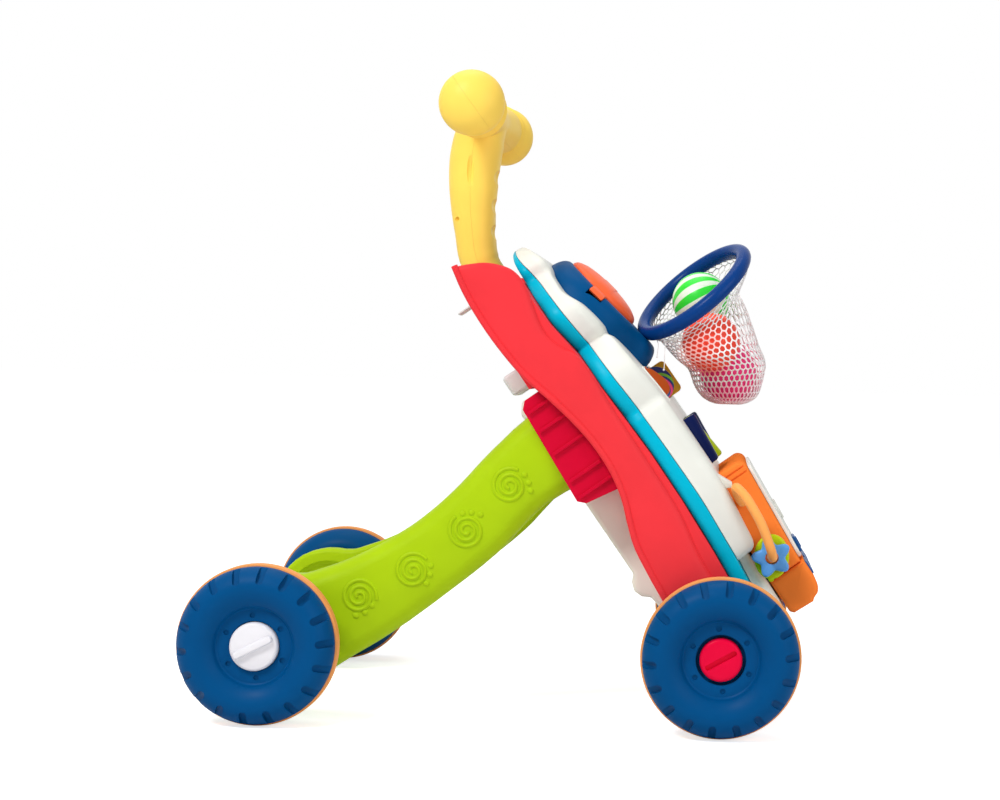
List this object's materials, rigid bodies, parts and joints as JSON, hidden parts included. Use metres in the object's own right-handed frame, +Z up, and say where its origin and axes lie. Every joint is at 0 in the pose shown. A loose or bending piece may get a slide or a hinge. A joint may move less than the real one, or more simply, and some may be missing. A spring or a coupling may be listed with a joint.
{
  "type": "baby push walker",
  "caption": "Leaning baby push walker with a T handle, wheels on two axles, a ball hoop with a net, spinning tiles and rollers, a music box and a bead rail.",
  "frame": {"origin": "on the floor under the middle of the whole walker", "axes": "+X forward, the way the walker is pushed; +Y the walker's left; +Z up"},
  "size_m": [0.4716, 0.349, 0.4916],
  "materials": {
    "navy_plastic": "moulded navy plastic, satin gloss",
    "band_rubber": "soft orange tread rubber",
    "cap_red": "glossy red plastic",
    "knob_white": "glossy white plastic",
    "axle_steel": "drawn steel rod",
    "body_red": "moulded red plastic, satin",
    "collar_red": "deeper red plastic, satin",
    "leg_lime": "moulded lime plastic, satin",
    "cover_beige": "beige plastic, fine matt",
    "fitting_grey": "pale grey plastic",
    "panel_white": "white plastic, satin gloss",
    "rim_teal": "teal plastic, glossy",
    "handle_yellow": "yellow plastic, satin gloss",
    "dome_coral": "coral orange plastic, glossy",
    "hoop_navy": "dark blue plastic, glossy",
    "net_thread": "knotted white thread mesh",
    "ball_green": "green and white striped thin plastic ball",
    "ball_orange": "orange red thin plastic ball",
    "ball_pink": "pink thin plastic ball",
    "tile_brown": "brown orange plastic",
    "tile_disc": "blue plastic with coloured arcs",
    "tile_yellow": "amber yellow plastic",
    "roller_navy": "deep navy plastic, glossy",
    "roller_lime": "lime plastic, glossy",
    "box_orange": "orange plastic, satin gloss",
    "key_blue": "blue plastic",
    "rail_orange": "light orange plastic rod",
    "star_blue": "blue plastic, satin gloss",
    "bead_lime": "yellow green plastic"
  },
  "bodies": {
    "walker": {"side_cheek_right": "body_red", "side_cheek_left": "body_red", "body_frame": "body_red", "rear_cover": "cover_beige", "hanging_tab": "fitting_grey", "handle_front_half": "handle_yellow", "handle_rear_half": "handle_yellow", "leg_outer_right": "leg_lime", "leg_outer_left": "leg_lime", "leg_inner_right": "leg_lime", "leg_inner_left": "leg_lime", "leg_collar_right": "collar_red", "leg_collar_left": "collar_red", "panel_rim": "rim_teal", "panel_shell": "panel_white", "dome_housing": "navy_plastic", "music_box": "box_orange", "music_fascia": "panel_white", "end_block": "box_orange", "bead_rail": "rail_orange", "front_axle": "axle_steel", "rear_axle": "axle_steel"},
    "front_wheel_left": {"front_wheel_outer_left": "navy_plastic", "front_wheel_inner_left": "navy_plastic", "front_tread_band_left": "band_rubber", "front_cap_left": "cap_red"},
    "front_wheel_right": {"front_wheel_outer_right": "navy_plastic", "front_wheel_inner_right": "navy_plastic", "front_tread_band_right": "band_rubber", "front_cap_right": "cap_red"},
    "rear_wheel_left": {"rear_wheel_outer_left": "navy_plastic", "rear_wheel_inner_left": "navy_plastic", "rear_tread_band_left": "band_rubber"},
    "rear_wheel_right": {"rear_wheel_outer_right": "navy_plastic", "rear_wheel_inner_right": "navy_plastic", "rear_tread_band_right": "band_rubber"},
    "rear_knob_left": {"rear_knob_left": "knob_white"},
    "rear_knob_right": {"rear_knob_right": "knob_white"},
    "dome": {"dome_button": "dome_coral"},
    "hoop": {"hoop_ring": "hoop_navy", "ball_net": "net_thread", "ball_orange": "ball_orange", "ball_pink": "ball_pink", "drawstring_tail_1": "net_thread", "drawstring_tail_2": "net_thread"},
    "top_ball": {"ball_green": "ball_green"},
    "leaf_tile": {"leaf_tile": "tile_brown"},
    "disc_tile": {"disc_tile": "tile_disc"},
    "square_tile": {"square_tile": "tile_yellow"},
    "near_roller": {"roller_near": "roller_navy"},
    "middle_roller": {"roller_middle": "roller_lime"},
    "far_roller": {"roller_far": "roller_navy"},
    "star_bead": {"star_bead": "star_blue"},
    "oval_bead": {"oval_bead": "bead_lime"},
    "latch": {"latch_button": "fitting_grey"},
    "slider": {"mode_slider": "key_blue"},
    "key_1": {"melody_key_1": "key_blue"},
    "key_2": {"melody_key_2": "key_blue"},
    "key_3": {"melody_key_3": "key_blue"}
  },
  "joints": [
    {"name": "front_left_wheel_spin", "type": "hinge", "parent": "walker", "child": "front_wheel_left", "pos_m": [0.16193, 0.1525, 0.05899], "axis": [0, 1, 0], "continuous": true},
    {"name": "front_right_wheel_spin", "type": "hinge", "parent": "walker", "child": "front_wheel_right", "pos_m": [0.16193, -0.1525, 0.05899], "axis": [0, 1, 0], "continuous": true},
    {"name": "rear_left_wheel_spin", "type": "hinge", "parent": "walker", "child": "rear_wheel_left", "pos_m": [-0.17677, 0.1525, 0.05899], "axis": [0, 1, 0], "continuous": true},
    {"name": "rear_right_wheel_spin", "type": "hinge", "parent": "walker", "child": "rear_wheel_right", "pos_m": [-0.17677, -0.1525, 0.05899], "axis": [0, 1, 0], "continuous": true},
    {"name": "rear_left_knob_turn", "type": "hinge", "parent": "rear_wheel_left", "child": "rear_knob_left", "pos_m": [-0.17677, 0.1525, 0.05899], "axis": [0, 1, 0], "range_deg": [0, 90]},
    {"name": "rear_right_knob_turn", "type": "hinge", "parent": "rear_wheel_right", "child": "rear_knob_right", "pos_m": [-0.17677, -0.1525, 0.05899], "axis": [0, 1, 0], "range_deg": [0, 90]},
    {"name": "dome_press", "type": "slide", "parent": "walker", "child": "dome", "axis": [-0.6921, 0, -0.7218], "range_m": [0, 0.0025], "stiffness_N_per_m": 600, "springref_m": -0.002},
    {"name": "hoop_swivel", "type": "hinge", "parent": "walker", "child": "hoop", "pos_m": [0.13176, 0, 0.33224], "axis": [0.7581, 0, 0.6521], "range_deg": [-25, 25]},
    {"name": "top_ball_lift", "type": "slide", "parent": "hoop", "child": "top_ball", "axis": [-0.6184, -0.3173, 0.719], "range_m": [0, 0.08]},
    {"name": "leaf_tile_spin", "type": "hinge", "parent": "walker", "child": "leaf_tile", "pos_m": [0.10362, -0.034, 0.2558], "axis": [-0.5878, 0, 0.809], "continuous": true},
    {"name": "disc_tile_spin", "type": "hinge", "parent": "walker", "child": "disc_tile", "pos_m": [0.10362, 0, 0.2558], "axis": [-0.5878, 0, 0.809], "continuous": true},
    {"name": "square_tile_spin", "type": "hinge", "parent": "walker", "child": "square_tile", "pos_m": [0.10362, 0.034, 0.2558], "axis": [-0.5878, 0, 0.809], "continuous": true},
    {"name": "near_roller_spin", "type": "hinge", "parent": "walker", "child": "near_roller", "pos_m": [0.13671, -0.034, 0.21025], "axis": [-0.5878, 0, 0.809], "continuous": true},
    {"name": "middle_roller_spin", "type": "hinge", "parent": "walker", "child": "middle_roller", "pos_m": [0.13671, 0, 0.21025], "axis": [-0.5878, 0, 0.809], "continuous": true},
    {"name": "far_roller_spin", "type": "hinge", "parent": "walker", "child": "far_roller", "pos_m": [0.13671, 0.034, 0.21025], "axis": [-0.5878, 0, 0.809], "continuous": true},
    {"name": "star_bead_turn", "type": "hinge", "parent": "walker", "child": "star_bead", "pos_m": [0.1987, -0.098, 0.12777], "axis": [0, 1, 0], "continuous": true},
    {"name": "oval_bead_turn", "type": "hinge", "parent": "walker", "child": "oval_bead", "pos_m": [0.1987, -0.0915, 0.12777], "axis": [0, 1, 0], "range_deg": [-35, 80]},
    {"name": "latch_press", "type": "slide", "parent": "walker", "child": "latch", "axis": [0.809, 0, 0.5878], "range_m": [0, 0.003], "stiffness_N_per_m": 400, "springref_m": -0.002},
    {"name": "mode_slide", "type": "slide", "parent": "walker", "child": "slider", "axis": [0, 1, 0], "range_m": [-0.006, 0.006]},
    {"name": "key_1_press", "type": "slide", "parent": "walker", "child": "key_1", "axis": [-0.809, 0, -0.5878], "range_m": [0, 0.002], "stiffness_N_per_m": 400, "springref_m": -0.002},
    {"name": "key_2_press", "type": "slide", "parent": "walker", "child": "key_2", "axis": [-0.809, 0, -0.5878], "range_m": [0, 0.002], "stiffness_N_per_m": 400, "springref_m": -0.002},
    {"name": "key_3_press", "type": "slide", "parent": "walker", "child": "key_3", "axis": [-0.809, 0, -0.5878], "range_m": [0, 0.002], "stiffness_N_per_m": 400, "springref_m": -0.002}
  ]
}
